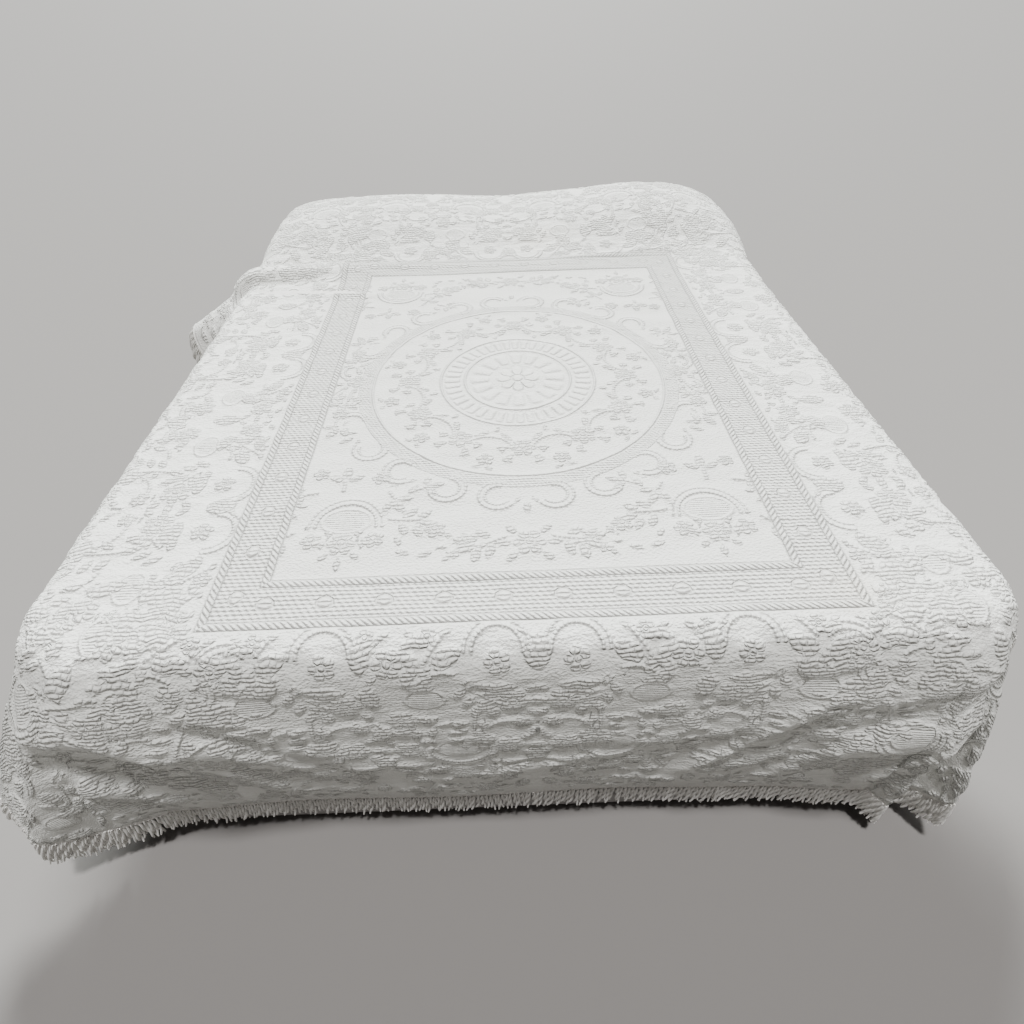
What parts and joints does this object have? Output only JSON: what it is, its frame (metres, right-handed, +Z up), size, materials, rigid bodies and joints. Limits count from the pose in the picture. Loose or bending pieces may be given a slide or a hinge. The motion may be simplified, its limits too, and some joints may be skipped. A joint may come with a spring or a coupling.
{
  "type": "fringed bedspread on a double bed",
  "caption": "White woven matelasse-style bedspread with corded fringe, draped over a plain double bed and two pillows.",
  "frame": {"origin": "on the floor under the middle of the bed base", "axes": "+Z up, +Y from the foot of the bed to its head, +X to the right as seen from the foot"},
  "size_m": [2.1413, 2.1173, 0.7583],
  "materials": {
    "woven_cotton": "matt puckered weave",
    "cotton_cord": "matt twisted cord",
    "ticking": "matt plain weave",
    "base_cover": "matt plain weave",
    "pillow_linen": "matt plain weave"
  },
  "bodies": {
    "root": {"spread": "woven_cotton", "fringe": "cotton_cord", "mattress": "ticking", "bed_base": "base_cover", "pillow_left": "pillow_linen", "pillow_right": "pillow_linen"}
  },
  "joints": []
}
